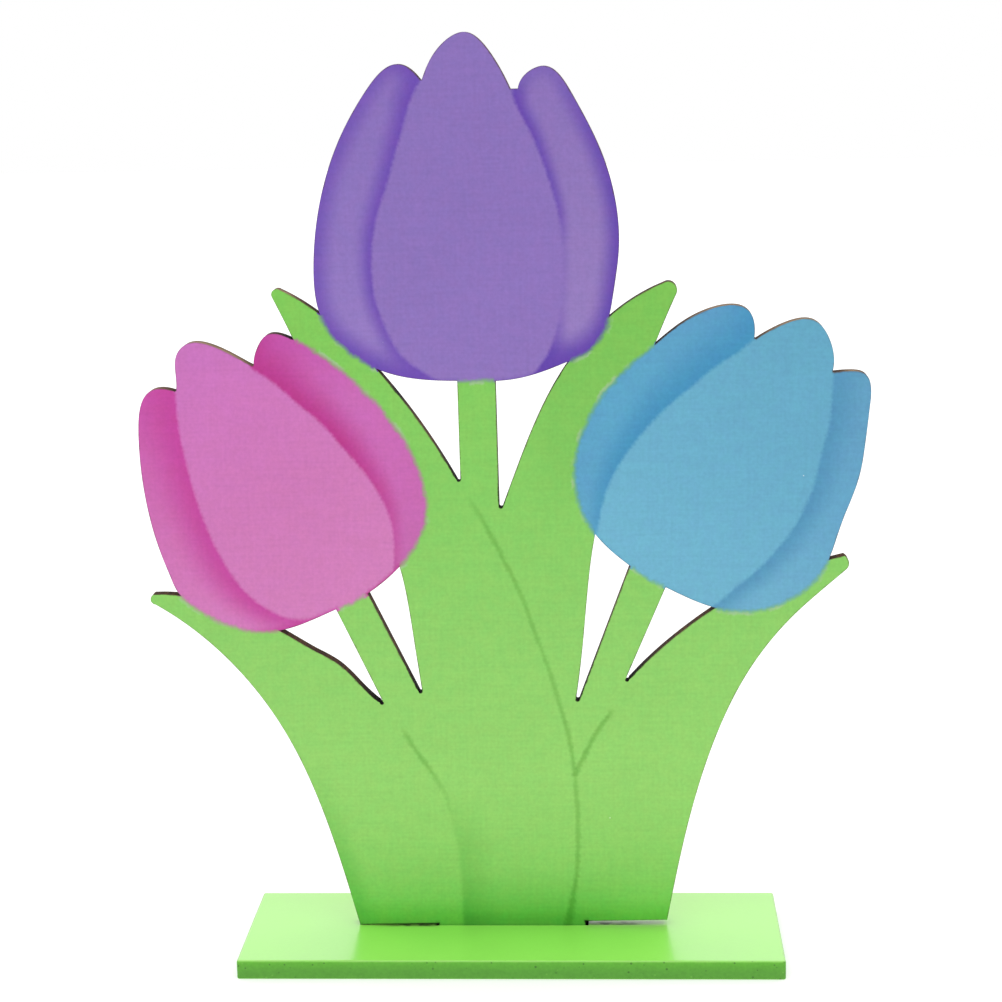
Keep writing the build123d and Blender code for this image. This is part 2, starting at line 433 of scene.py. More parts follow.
# Flowers, in their own frame: across and up in mm from the top of the stem, leaning to the right in degrees.
# Edges run up the left petal, over the middle one and down the right one; folds are where the middle petal's
# print lies over the side petals. Colours are rows (up, red, green, blue). Shades are rows (up, reach in mm,
# strength) away from the fold or from the outer rim
purpleFlower = dict(
    stemTop=(-7.2, 155.9), lean=0, hem=0.45,
    leftEdge=[(0, 0), (-12.8, 0.3), (-25.8, 3.1), (-33.9, 8), (-40.6, 15.8), (-43, 31), (-38.2, 57),
              (-28.2, 76.4), (-19.8, 84.1), (-15.7, 82.8), (-13, 80)],
    middleEdge=[(-12.6, 80), (-10.6, 84.6), (-7.1, 89.2), (-1.2, 92.1), (4.7, 87.7), (10.6, 77.2)],
    rightEdge=[(12.6, 77.2), (14.1, 80.4), (19.4, 83), (27, 75.3), (35.6, 57), (38.8, 35.5), (37.3, 23.8),
               (32.6, 9.8), (23.2, 4.2), (12, 0.6), (0, 0)],
    leftFold=[(-8.5, -1), (-15.5, 3.4), (-20.4, 7.6), (-23.4, 13.1), (-26.4, 21.6), (-27.3, 32.1),
              (-26.7, 39.1), (-25, 46.1), (-22.5, 53.1), (-20.1, 61.1), (-17.8, 68.1), (-16, 74.1),
              (-12.8, 80.1)],
    rightFold=[(13, -1), (17.2, 3.8), (20, 8.3), (22.1, 14.6), (23.6, 35.6), (23.2, 41.9), (21.7, 48.9),
               (18.8, 58.1), (15.1, 67.1), (11.5, 74.8), (10.9, 78)],
    middle=[(0, 144, 117, 190), (45, 140, 114, 187), (92, 139, 113, 186)],
    leftLight=[(0, 140, 113, 190), (12, 149, 123, 195), (40, 142, 117, 190), (84, 138, 112, 187)],
    rightLight=[(0, 140, 113, 186), (15, 150, 125, 191), (40, 146, 121, 188), (84, 138, 112, 185)],
    leftDark=(111, 77, 178), rightDark=(101, 69, 173),
    leftFoldShade=[(0, 5.5, 0.9), (10, 4.8, 0.85), (30, 5, 0.95), (55, 6, 0.95), (72, 6.5, 1), (84, 9, 1)],
    leftRimShade=[(0, 6, 1), (8, 7, 1), (20, 6.5, 0.85), (45, 6.5, 0.8), (65, 6, 0.8), (82, 5.5, 0.7)],
    rightFoldShade=[(0, 5, 1), (6, 7.5, 1), (12, 4, 0.6), (20, 2.8, 0.25), (36, 2.8, 0.3), (45, 3.4, 0.8),
                    (60, 4.2, 0.9), (75, 5, 1), (78, 4, 0.6), (81, 3, 0)],
    rightRimShade=[(0, 7, 1), (8, 8.5, 1), (20, 6, 0.95), (45, 6, 0.95), (65, 5.5, 0.85), (76, 5, 0.6),
                   (83, 4, 0.3)],
)
pinkFlower = dict(
    stemTop=(-42.7, 94.4), lean=-27.5, hem=0.9,
    leftEdge=[(0, 0), (-11, 0.9), (-20.4, 2.2), (-31.6, 8.4), (-39, 18.6), (-41.4, 25), (-40.9, 31.2),
              (-39.9, 38), (-35.8, 53), (-29.4, 67.4), (-20.4, 77.5), (-16.5, 76.6), (-13.8, 74.3)],
    middleEdge=[(-13.4, 74.3), (-10.7, 79.5), (-8.2, 82.9), (-4.8, 84), (-0.1, 81.7), (8.3, 70.3)],
    rightEdge=[(8.7, 70.3), (12.3, 74.3), (16.1, 75.8), (21, 72.2), (29.4, 56.5), (34.7, 31.5), (28.6, 10.3),
               (16.9, 3), (9, 0.9), (0, 0)],
    leftFold=[(-9, 0.5), (-13, 1.6), (-17.2, 4), (-20.8, 8), (-23.2, 12.4), (-25.1, 18.1), (-25.8, 24.8),
              (-25.7, 31.6), (-24.7, 40.2), (-22.9, 48.9), (-20.9, 56.1), (-18.6, 63.3), (-15.2, 71.1),
              (-13.6, 74.5)],
    rightFold=[(12.5, -1), (15.6, 4.6), (17.8, 8.3), (19.8, 12.8), (21, 17.7), (21.4, 23.7), (20.6, 31.6),
               (18.6, 41), (16.9, 48.3), (13.9, 56), (11.1, 63.7), (7.9, 69.5)],
    middle=[(0, 213, 129, 189), (35, 208, 122, 185), (65, 207, 119, 189), (84, 203, 117, 191)],
    leftLight=[(0, 213, 121, 187), (12, 214, 127, 190), (40, 208, 115, 181), (76, 203, 92, 174)],
    rightLight=[(0, 199, 108, 177), (20, 203, 106, 180), (50, 204, 108, 184), (76, 198, 82, 170)],
    leftDark=(198, 72, 159), rightDark=(188, 58, 142),
    leftFoldShade=[(0, 6, 0.8), (10, 9, 0.95), (25, 12, 0.95), (45, 12.5, 0.95), (62, 13, 1), (77, 17, 1)],
    leftRimShade=[(0, 2.6, 1), (3, 2.4, 0.8), (8, 1.5, 0), (84, 1.5, 0)],
    rightFoldShade=[(0, 3, 0.3), (12, 4, 0.5), (25, 6.5, 0.8), (40, 9.5, 1), (55, 11, 1), (70, 13, 1)],
    rightRimShade=[(0, 1.5, 0)],
)
blueFlower = dict(
    stemTop=(38.5, 100.8), lean=31.5, hem=0.25,
    leftEdge=[(0, 0), (-11, 1.2), (-19.4, 3.6), (-31.8, 14.6), (-36.5, 31), (-31.2, 57), (-24.4, 71),
              (-16.5, 76.7), (-12.3, 75.2), (-9.6, 71.1)],
    middleEdge=[(-9.1, 71.1), (-4.9, 78.2), (1.8, 83.3), (7.6, 81.2), (13, 74.1)],
    rightEdge=[(13.4, 74.1), (16.8, 76.5), (20.2, 78), (27.5, 69.2), (34.8, 52), (37.2, 40), (39.8, 26),
               (34.6, 12.2), (22.6, 3.2), (12, 0.9), (0, 0)],
    leftFold=[(-17, -1), (-18.6, 4.5), (-20.2, 9), (-21.8, 13.9), (-22.7, 20.2), (-22.6, 28.3), (-21.6, 36),
              (-19.8, 43.6), (-16.7, 52.7), (-14.1, 60.1), (-11.2, 66.1), (-9.6, 71.2)],
    rightFold=[(18.5, 0.5), (20.7, 5.9), (21.8, 9.7), (23.9, 15.7), (25.5, 22.4), (26.6, 30.3), (26.3, 38.8),
               (24.9, 45.9), (22.3, 53.5), (20.1, 60.8), (15.4, 70.2), (13.2, 74.4)],
    middle=[(0, 115, 182, 209), (40, 107, 174, 203), (84, 101, 168, 197)],
    leftLight=[(0, 100, 168, 202), (15, 94, 162, 200), (40, 94, 167, 202), (77, 95, 159, 199)],
    rightLight=[(0, 113, 176, 208), (15, 112, 176, 207), (45, 102, 165, 200), (78, 99, 160, 195)],
    leftDark=(70, 147, 190), rightDark=(86, 150, 188),
    leftFoldShade=[(0, 4, 0.4), (12, 5, 0.7), (25, 8, 0.95), (45, 11.5, 1), (65, 14, 1), (77, 17, 1)],
    leftRimShade=[(0, 1.5, 0)],
    rightFoldShade=[(0, 6, 0.75), (15, 7, 0.95), (40, 7.5, 1), (60, 9, 1), (74, 10, 0.9)],
    rightRimShade=[(0, 1.5, 0)],
)

flowerPrint = dict(
    across=50.0, below=-8.0, above=100.0,  # all that a flower can reach, around the top of its stem
    step=0.5,  # along its edges and folds
    cutSlack=0.5,  # nearer to the board's rim than this, an edge counts as cut
    foldRun=(0, 20),  # past the notches the folds run on, clear of the middle petal
    hemGap=(0.1, 0.8),  # the hem fades over these distances from the cut
    hemUp=(4, 9),  # and these heights
    far=6.0,  # distances to the printed edge are held to this
)


def shadeFlower(flower, at, cutGap):
    # Print of one flower at panel points: how far inside its printed edge each lies, how far inside the
    # middle petal's folds, and the colours of the middle and the side petals there. A side petal goes from
    # light to dark by 1 - (1 - fold shade)(1 - rim shade). All darken to a thin hem along the lowest cut
    look = flowerPrint
    lean = math.radians(flower["lean"])
    turn = np.array(((math.cos(lean), math.sin(lean)), (-math.sin(lean), math.cos(lean))))
    own = (at - flower["stemTop"]) @ turn
    near = (abs(own[:, 0]) < look["across"]) & (own[:, 1] > look["below"]) & (own[:, 1] < look["above"])
    own, cutGap = own[near], cutGap[near]
    edge = np.concatenate([smoothLine(flower[k + "Edge"], look["step"]) for k in ("left", "middle", "right")])
    ends = np.roll(edge, -1, 0)
    # Where the edge crosses the board it is printed; elsewhere it was cut, so the print runs on past it
    onPanel, rimEnds = edge @ turn.T + flower["stemTop"], panelRim[panelNext]
    printed = offLine(onPanel, panelRim, rimEnds)[0] * within(onPanel, panelRim, rimEnds) > look["cutSlack"]
    printed &= np.roll(printed, -1)
    inside = within(own, edge, ends) | (offLine(own, edge[~printed], ends[~printed])[0] < look["cutSlack"])
    insideBy = offLine(own, edge[printed], ends[printed])[0] * np.where(inside, 1, -1)
    left, right = (smoothLine(flower[side + "Fold"], look["step"]) for side in ("left", "right"))
    left, right = (np.vstack((line, line[-1] + look["foldRun"])) for line in (left, right))
    leftGap, leftSide = offLine(own, left[:-1], left[1:])[:2]
    rightGap, rightSide = offLine(own, right[:-1], right[1:])[:2]
    onLeft = leftGap < rightGap
    foldBy = np.where(onLeft, -leftGap * leftSide, rightGap * rightSide)
    rimBy = offLine(own, edge, ends)[0]
    up, outside = own[:, 1], np.maximum(-foldBy, 0)
    shade = []
    for side in ("left", "right"):
        fold, outer = byHeight(flower[side + "FoldShade"], up), byHeight(flower[side + "RimShade"], up)
        byFold = fold[:, 1] * (1 - rise(0, 1, outside / fold[:, 0]))
        byRim = outer[:, 1] * (1 - rise(0, 1, rimBy / outer[:, 0]))
        dark = (1 - (1 - byFold) * (1 - byRim))[:, None]
        shade.append(blend(colourByHeight(flower[side + "Light"], up), paint(flower[side + "Dark"]), dark))
    dark = np.where(onLeft[:, None], paint(flower["leftDark"]), paint(flower["rightDark"]))
    hem = (flower["hem"] * (1 - rise(*look["hemGap"], cutGap)) * (1 - rise(*look["hemUp"], up)))[:, None]
    middle, sides = colourByHeight(flower["middle"], up), np.where(onLeft[:, None], *shade)
    middle, sides = (blend(colour, dark, hem) for colour in (middle, sides))
    values = np.zeros((len(at), 8))
    values[:, 0] = -look["far"]
    values[near] = np.column_stack((insideBy, foldBy, middle, sides))
    return values


# Leaves: colours up the panel, veins with rows (length along, strength, width), and shades at the foot
leafPrint = dict(
    # The print's greens grow darker towards the top; the lowest rows are partly painted shade where the panel
    # meets the base
    green=[(-1, 98, 191, 64), (3, 110, 201, 74), (8, 133, 213, 96), (15, 144, 212, 104), (27, 152, 215, 110),
           (43, 154, 215, 112), (85, 145, 209, 106), (125, 136, 205, 99), (185, 130, 202, 88)],
    mainVein=[(-10.6, 124.5), (-6, 116.8), (-1, 106.9), (3.6, 97), (7.5, 85.7), (11.2, 74.9), (14.4, 63.6),
              (17, 52.7), (18, 44), (18.6, 33), (18.6, 22), (17.7, 12.1), (16.4, 5), (15.3, -1.5)],
    mainForce=[(0, 0, 1.4), (5, 0.45, 1.4), (12, 0.75, 1.5), (25, 0.7, 1.4), (40, 0.65, 1.3),
               (60, 0.65, 1.4), (75, 0.8, 1.4), (90, 0.68, 1.4), (108, 0.75, 1.4), (118, 0.9, 1.4),
               (126, 1.15, 2.3), (135, 1.3, 2.7)],
    sideVein=[(18, 44.2), (19.9, 48.5), (23.2, 55.1), (28.9, 63.5)],
    sideForce=[(0, 0.75, 1.5), (8, 0.95, 1.5), (19, 0.9, 1.4), (23.2, 0, 1.3)],
    leftVein=[(-30.2, 58.6), (-27.6, 54), (-23, 46.8), (-19.2, 40.6), (-17, 33), (-15.4, 25.3), (-14.6, 17),
              (-14.3, 8), (-14.2, -2)],
    leftForce=[(0, 0, 1.3), (3, 0.8, 1.5), (14, 0.8, 1.5), (20, 0.45, 1.4), (30, 0.1, 1.3), (45, 0, 1.3)],
    veinStep=0.5,
    veinReach=6,
    rightLeafAcross=(5, 15),  # the right inner leaf, which is a shade darker, starts here
    rightLeafHeight=(115, 135),
    rightLeafTint=(0.92, 0.93, 0.92),
    shadow=(70, 160, 52),  # right of the left vein, near the foot
    shadowSoft=0.7,
    shadowReach=12.5,
    # Rows (height, strength beside the vein, strength from there to the right)
    shadowForce=[(0, 0.5, 0.35), (2, 0.4, 0.45), (4, 0.32, 0.22), (8, 0.25, 0.2), (12, 0.24, 0.1),
                 (17, 0.25, 0), (23, 0.25, 0), (29, 0.17, 0), (40, 0, 0)],
    shadowEnd=(16, 38),
    edgeShade=(92, 186, 72),  # along the left edge, near the foot
    edgeForce=0.6,
    edgeFoot=-43.6,  # across, where that edge meets the base
    edgeLean=0.27,  # mm to the left for each mm up
    edgeReach=8,
    edgeHeight=(3, 55),
    edgeSide=-20,  # nothing to the right of this
)


def veinAt(line, force, at):
    # Signed distance to a vein, and its strength and width by the length along it; no strength past its ends
    line = smoothLine(line, leafPrint["veinStep"])
    gap, side, place = offLine(at, line[:-1], line[1:])
    beside = (gap < leafPrint["veinReach"]) & (place > 0) & (place < len(line) - 1)
    strength, width = byHeight(force, place * leafPrint["veinStep"]).T
    return gap * side, strength * beside, width


def leafColours(across, height, leftGap):
    # Greens by height, tinted on the right inner leaf, then blended into the shadow right of the left vein
    # and into the shade along the left edge, each by a share that falls off from its line
    look = leafPrint
    green = colourByHeight(look["green"], height)
    share = rise(*look["rightLeafAcross"], across) * rise(*look["rightLeafHeight"], height)
    green = blend(green, green * look["rightLeafTint"], share[:, None])
    beside, onwards = byHeight(look["shadowForce"], height).T
    share = beside * (1 - rise(0, look["shadowReach"], leftGap))
    share += onwards * (1 - rise(*look["shadowEnd"], across))
    share *= rise(-look["shadowSoft"], look["shadowSoft"], leftGap)
    green = blend(green, paint(look["shadow"]), share[:, None])
    inFrom = across - look["edgeFoot"] + look["edgeLean"] * height
    share = (1 - rise(0, look["edgeReach"], inFrom)) * (1 - rise(*look["edgeHeight"], height))
    share *= look["edgeForce"] * (across < look["edgeSide"])
    return blend(green, paint(look["edgeShade"]), share[:, None])


def printPanel():
    # Everything the panel's finishes read, worked out for all points of the mesh at once. Char marks and
    # painted highlights fall off as e to the minus (distance / reach) squared
    at, far = panelPoints, flowerPrint["far"]
    cutGap = np.concatenate((np.repeat(panelCut["insets"], len(panelRim)), frontAway, backAway))
    setValues(panel, "rimGap", cutGap)
    heads = np.stack([shadeFlower(flower, at, cutGap) for flower in (purpleFlower, pinkFlower, blueFlower)])
    head = heads[heads[:, :, 0].argmax(0), np.arange(len(at))]
    setValues(panel, "flowerEdge", np.clip(head[:, 0], -far, far))
    setValues(panel, "foldEdge", head[:, 1])
    setValues(panel, "middleColour", head[:, 2:5])
    setValues(panel, "sideColour", head[:, 5:8])
    veins = [veinAt(leafPrint[k + "Vein"], leafPrint[k + "Force"], at) for k in ("main", "side", "left")]
    setValues(panel, "veins", np.stack([gap / width for gap, strength, width in veins], 1))
    setValues(panel, "veinForce", np.stack([vein[1] for vein in veins], 1))
    setValues(panel, "leafColour", leafColours(at[:, 0], at[:, 1], veins[2][0]))
    for name in ("char", "pale"):
        places = np.array(burnsAndPaintedLight[name], float)
        away = np.linalg.norm(at[:, None] - places[:, :2], axis=2)
        setValues(panel, name, np.exp(-(away / places[:, 2]) ** 2).max(1))
    # Painted shade at the tab's corners, and a painted shadow of the gap along the left of the foot
    dots, line = np.array(burnsAndPaintedLight["dots"]), np.array(burnsAndPaintedLight["line"])
    byDot = 1 - rise(*burnsAndPaintedLight["gapShadeDotReach"], offLine(at, dots, dots)[0])
    byLine = 1 - rise(*burnsAndPaintedLight["gapShadeLineReach"], offLine(at, line[:1], line[1:])[0])
    setValues(panel, "gapShade", np.maximum(byDot, burnsAndPaintedLight["gapShadeLineForce"] * byLine))


printPanel()
print("print worked out for", len(panelPoints), "points")


# Finishes: scales of noise are per metre, dots have (scale, radius in cells, share of cells), bumps have
# (strength, height in metres), and the other lengths are in mm unless a note says metres
printLook = dict(
    waveScale=250, fuzzScale=1100, edgeWave=1.6, foldFuzz=0.8,
    edgeSoft=(-1.0, 0.9), foldSoft=(-0.7, 0.7),
    veinWobble=0.5, veinEnd=0.85, veinTint=(0.64, 0.73, 0.58),  # in widths of the vein
    seam=0.3, seamReach=1.1, seamTint=(0.62, 0.62, 0.56),
    fringe=0.35, fringeOut=0.7, fringeReach=0.8, fringeScale=160, fringeFrom=(0.5, 0.62),
    fringeColour=(190, 196, 186),
    acrossLines=(70, 70, 1100), alongLines=(1100, 70, 70), toneScale=45,
    across=0.105, along=0.075, fuzz=0.16, tone=0.06, darkest=0.74,
    blotchScale=260, blotchFrom=(0.3, 0.7), blotchHue=(0.4965, 0.5035),
    dust=(150, 0.035, 0.22), dustForce=0.6, dustColour=(236, 236, 226),
    pits=(95, 0.02, 0.12), pitsForce=0.45, pitsColour=(60, 60, 50),
    scorchWander=0.35, scorchReach=0.32, scorchForce=(0.6, 0.9), scorchColour=(88, 66, 50),
    # paleForce makes the scorch lighter on the painted highlights; gapShadeColour is painted shade at the
    # tab's corners and under the foot
    paleForce=(1.0, 0.5), charColour=(40, 30, 24), gapShadeColour=(16, 12, 10),
    rough=0.44, roughMore=0.16, shine=0.12, bump=(0.2, 0.00005),
)


def printedFinish():
    # Print on the front: leaf with veins, flower over it with a ragged edge, both lighter and darker by print
    # lines, then dust, pits, a scorched rim that fades on the painted highlights, and painted shade at the
    # tab's corners and under the foot, each laid over by its share
    look = printLook
    finish, shader = newFinish("printedFront")
    where = addNode("TexCoord").outputs["Object"]
    wave, fuzz = (calc("SUBTRACT", grain(where, look[k]), 0.5) for k in ("waveScale", "fuzzScale"))
    ragged = plus(times(wave, look["edgeWave"]), fuzz)
    edge = plus(readValue("flowerEdge"), ragged)
    fold = plus(readValue("foldEdge"), times(fuzz, look["foldFuzz"]))
    side, middle, leaf = (readValue(k + "Colour", "Color") for k in ("side", "middle", "leaf"))
    flower = mixColour(soft(fold, *look["foldSoft"]), side, middle)
    gaps = addNode("VectorMath", {"operation": "ABSOLUTE"}, {0: readValue("veins", "Vector")})
    wobble = times(plus(fuzz, wave), look["veinWobble"])
    gaps = addNode("VectorMath", {"operation": "ADD"}, {0: gaps.outputs[0], 1: wobble}).outputs[0]
    zero, one, end = ((c,) * 3 for c in (0.0, 1.0, look["veinEnd"]))
    lines = addNode("MapRange", {"data_type": "FLOAT_VECTOR", "interpolation_type": "SMOOTHSTEP"},
                    {6: gaps, 7: zero, 8: end, 9: one, 10: zero}).outputs[1]
    vein = addNode("VectorMath", {"operation": "DOT_PRODUCT"},
                   {0: lines, 1: readValue("veinForce", "Vector")}).outputs["Value"]
    vein = addNode("Clamp", {}, {0: vein}).outputs[0]
    leaf = mixColour(vein, leaf, look["veinTint"], "MULTIPLY")
    colour = mixColour(soft(edge, *look["edgeSoft"]), leaf, flower)
    # The two inks overlap in a thin darker seam, with a pale fringe here and there outside it
    seam = soft(calc("ABSOLUTE", edge), 0.0, look["seamReach"], look["seam"], 0.0)
    colour = mixColour(seam, colour, look["seamTint"], "MULTIPLY")
    fringe = calc("ABSOLUTE", plus(edge, look["fringeOut"]))
    fringe = soft(fringe, 0.0, look["fringeReach"], look["fringe"], 0.0)
    fringe = times(fringe, soft(grain(where, look["fringeScale"], 1.0), *look["fringeFrom"]))
    colour = mixColour(fringe, colour, look["fringeColour"])
    # Weave of faint print lines, long along X or along Z, and a slow change of tone
    across, along = (grain(stretched(where, look[k]), 1.0) for k in ("acrossLines", "alongLines"))
    tone = grain(where, look["toneScale"], 3.0)
    value = plus(times(across, look["across"]), times(along, look["along"]),
                 times(fuzz, look["fuzz"]), times(tone, look["tone"]), look["darkest"])
    hue = soft(grain(where, look["blotchScale"]), *look["blotchFrom"], *look["blotchHue"])
    colour = addNode("HueSaturation", {}, {"Hue": hue, "Value": value, "Color": colour}).outputs[0]
    for kind in ("dust", "pits"):
        colour = sprinkle(where, colour, look, kind)[0]
    # The scorch along the rim fades on the painted highlights of the upward tips
    char, pale = readValue("char"), readValue("pale")
    rimGap = plus(readValue("rimGap"), times(ragged, look["scorchWander"]))
    scorch = times(soft(rimGap, 0.0, look["scorchReach"], 1.0, 0.0),
                   soft(char, 0.0, 1.0, *look["scorchForce"]), soft(pale, 0.0, 1.0, *look["paleForce"]))
    brown = mixColour(char, look["scorchColour"], look["charColour"])
    colour = mixColour(scorch, colour, brown)
    # Painted shade at the tab's corners and along the gap under the left of the foot
    colour = mixColour(readValue("gapShade"), colour, look["gapShadeColour"])
    rough = plus(times(across, look["roughMore"]), look["rough"])
    dress(shader, look, colour, rough, look["shine"], plus(across, along))
    return finish


cutLook = dict(
    streaks=(1500, 70, 1500), streakFrom=(0.3, 0.7), darkStreak=(54, 36, 28), lightStreak=(100, 72, 52),
    cloudScale=70, cloudFrom=(0.35, 0.7), cloudForce=0.55, cloudColour=(42, 28, 22),
    # Painted highlight on upward tips, strongest near the front
    paleDepth=(0.0012, 0.0038), paleForce=(0.75, 0.3), paleColour=(164, 138, 110),  # Y in metres
    charColour=(14, 10, 8), roughFrom=(0.2, 0.8), rough=(0.6, 0.85), shine=0.06, bump=(0.5, 0.00012),
)


def cutFinish():
    # Burnt cut: brown streaks across the thickness, darker clouds along it, a painted highlight on upward
    # tips, most of all near the front, and black beside the window tips
    look = cutLook
    finish, shader = newFinish("burntCut")
    where = addNode("TexCoord").outputs["Object"]
    streaks = grain(stretched(where, look["streaks"]), 1.0, 3.0)
    brown = mixColour(soft(streaks, *look["streakFrom"]), look["darkStreak"], look["lightStreak"])
    clouds = soft(grain(where, look["cloudScale"], 3.0), *look["cloudFrom"], 0.0, look["cloudForce"])
    brown = mixColour(clouds, brown, look["cloudColour"])
    depth = addNode("SeparateXYZ", {}, {0: where}).outputs[1]
    # Painted highlight where light falls on the upward tips
    pale = times(readValue("pale"), soft(depth, *look["paleDepth"], *look["paleForce"]))
    brown = mixColour(pale, brown, look["paleColour"])
    colour = mixColour(readValue("char"), brown, look["charColour"])
    rough = soft(streaks, *look["roughFrom"], *look["rough"])
    dress(shader, look, colour, rough, look["shine"], streaks)
    return finish


bareLook = dict(
    rings=(150, 150, 7), ringBend=0.6, ringFrom=(0.3, 0.7),
    lightRing=(214, 182, 136), darkRing=(190, 152, 104),
    fibres=(1600, 1600, 45), fibreFrom=(0.45, 0.75), fibreForce=0.4, fibreColour=(160, 120, 78),
    poreStretch=(1, 1, 0.12), pores=(520, 0.14, 0.3), poresForce=0.55, poresColour=(112, 78, 50),
    smokeScale=260, smokeWander=3.0, smokeReach=3.2, smokeForce=0.7, smokeColour=(104, 72, 46),
    roughFrom=(0.2, 0.8), rough=(0.55, 0.75), shine=0.3, bump=(0.3, 0.0001),
)


def bareFinish():
    # Bare back: pale wood with grain along Z, small dark pores, and a brown smoke mark along the cuts
    look = bareLook
    finish, shader = newFinish("bareBoard")
    where = addNode("TexCoord").outputs["Object"]
    rings = grain(stretched(where, look["rings"]), 1.0, 4.0, look["ringBend"])
    fibre = grain(stretched(where, look["fibres"]), 1.0, 3.0)
    wood = mixColour(soft(rings, *look["ringFrom"]), look["lightRing"], look["darkRing"])
    fibreShare = soft(fibre, *look["fibreFrom"], 0.0, look["fibreForce"])
    wood = mixColour(fibreShare, wood, look["fibreColour"])
    wood = sprinkle(stretched(where, look["poreStretch"]), wood, look, "pores")[0]
    wander = calc("SUBTRACT", grain(where, look["smokeScale"], 3.0), 0.5)
    gap = plus(readValue("rimGap"), times(wander, look["smokeWander"]))
    smoke = soft(gap, 0.0, look["smokeReach"], look["smokeForce"], 0.0)
    colour = mixColour(smoke, wood, look["smokeColour"])
    rough = soft(fibre, *look["roughFrom"], *look["rough"])
    dress(shader, look, colour, rough, look["shine"], fibre)
    return finish


for finish in (printedFinish(), cutFinish(), bareFinish()):
    panel.data.materials.append(finish)
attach(panel, "panel")
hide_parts("tulip_panel")
print("tulip panel finished")


# Base plate: glossy green board with eased edges and the slot

plate = dict(
    node="base_plate",
    step=1.0,  # along the edges
    corner=25.0,  # sharper turns stay sharp
    inset=0.35,  # from the outer wall to the rim of the flat top
    topEase=0.6,  # radius of the outer edges, above and below
    lowEase=0.35,
    lip=0.12,  # softened mouth of the slot
    thick=5.4,
    wallDepths=[1.6, 2.7, 3.8],  # rows on the wall
    topMargin=0.28,  # flat margin inside the rounding of the top
    margin=0.3,  # the same on the underside and around the slot
    slotFrom=3.0,  # a rim this far inside the outer wall is the slot's
    gridStep=3.0,
    gridClear=2.0,
    # For each row, how much it belongs to the wall and to the worn edges
    wallShare=[0, 0, 0.15, 0.5, 0.85, 1, 1, 1, 1, 1, 0.85, 0.5, 0.15, 0, 0],
    lipShare=[0, 0.4, 1, 1, 0.5, 0.1, 0, 0, 0, 0.1, 0.5, 1, 1, 0.4, 0],
)

baseFar = np.array(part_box(plate["node"])[1]) / mm
baseRim, baseNext = faceRim(plate["node"], 0, 1, 2, baseFar[2])
baseRim, baseNext = fineRim(baseRim, baseNext, plate["step"], plate["corner"])[:2]
# Rows: a flat margin, a quarter circle out to the wall, the wall, and a smaller quarter circle below
angles = np.radians(np.linspace(0, 90, 5))
inwards, down = 1 - np.sin(angles), 1 - np.cos(angles)
topEase, lowEase, lip, thick = (plate[k] for k in ("topEase", "lowEase", "lip", "thick"))
onWall = np.zeros(len(plate["wallDepths"]))
outerInset = np.concatenate((topEase * inwards, onWall, lowEase * inwards[::-1])) - plate["inset"]
outerInset = np.concatenate(([plate["topMargin"]], outerInset, [plate["margin"]]))
slotInset = np.concatenate((lip * inwards, onWall, lip * inwards[::-1]))
slotInset = np.concatenate(([plate["margin"]], slotInset, [plate["margin"]]))
depths = np.concatenate(([0], topEase * down, plate["wallDepths"], thick - lowEase * down[::-1], [thick]))
isSlot = (abs(baseRim) < baseFar[:2] - plate["slotFrom"]).all(1)
insets = np.where(isSlot, slotInset[:, None], outerInset[:, None])
baseRows = carryProfile(baseRim, baseNext, [], insets)
baseGrid = honeycomb(baseRim, baseNext, plate["gridStep"], plate["gridClear"])[0]
base = makeBoard(
    "basePlate", baseRows, baseNext, baseGrid, baseGrid,
    lambda p, d: np.stack((p[:, 0], p[:, 1], baseFar[2] - d), 1), depths, (2, len(depths) - 3))[0]
everywhere, flat = np.ones(len(baseRim)), np.zeros(2 * len(baseGrid))
for name, rowShare, rimShare in (("wallShare", "wallShare", everywhere), ("lipShare", "lipShare", everywhere),
                                 ("slotShare", "wallShare", isSlot)):
    setValues(base, name, np.concatenate((np.outer(plate[rowShare], rimShare).ravel(), flat)))

plateLook = dict(
    topGreen=(163, 246, 100), sideGreen=(88, 154, 55), highSideGreen=(94, 170, 52),
    sideHeight=(0.0018, 0.0052),  # places on the base are in metres
    toneScale=60, tone=0.1, fleckScale=900, fleck=0.05, darkest=0.925, mottleScale=1300, mottle=0.35,
    thinScale=240, thinFrom=(0.35, 0.7), thinForce=(0.1, 0.5), thinGreen=(150, 205, 96),
    holes=(480, 0.15, 0.7), holesForce=0.7, holesColour=(52, 84, 36), holeHeight=(0.0024, 0.0046),
    knockScale=55, knockFrom=(0.42, 0.54),
    dents=(500, 0.2, 0.75), dentsForce=0.75, dentsColour=(56, 96, 38),
    scuffs=(610, 0.2, 0.4), scuffsForce=0.5, scuffsColour=(122, 186, 80),
    slotBrown=(40, 34, 24),
    # Painted shadow under the front of the panel's foot, with a thin dark line before its left end
    footShadowLeft=(-0.0225, -0.0205), footShadowOut=-0.001, footShadowSoft=0.0006, footShadowBack=(0.001, 0.0042),
    footShadowAcross=(0.03, 0.043), footShadowForce=0.85, footShadowScale=420, footShadowFrom=(0.3, 0.6), footShadowPatch=(0.55, 1.0),
    footShadowColour=(44, 36, 38),
    roughFrom=(0.3, 0.7), rough=(0.3, 0.36), wallRough=0.18,
    shine=(1.0, 0.25), coat=(1.0, 0.0), coatRough=0.2, coatIor=1.6, bump=(0.12, 0.0002),
)


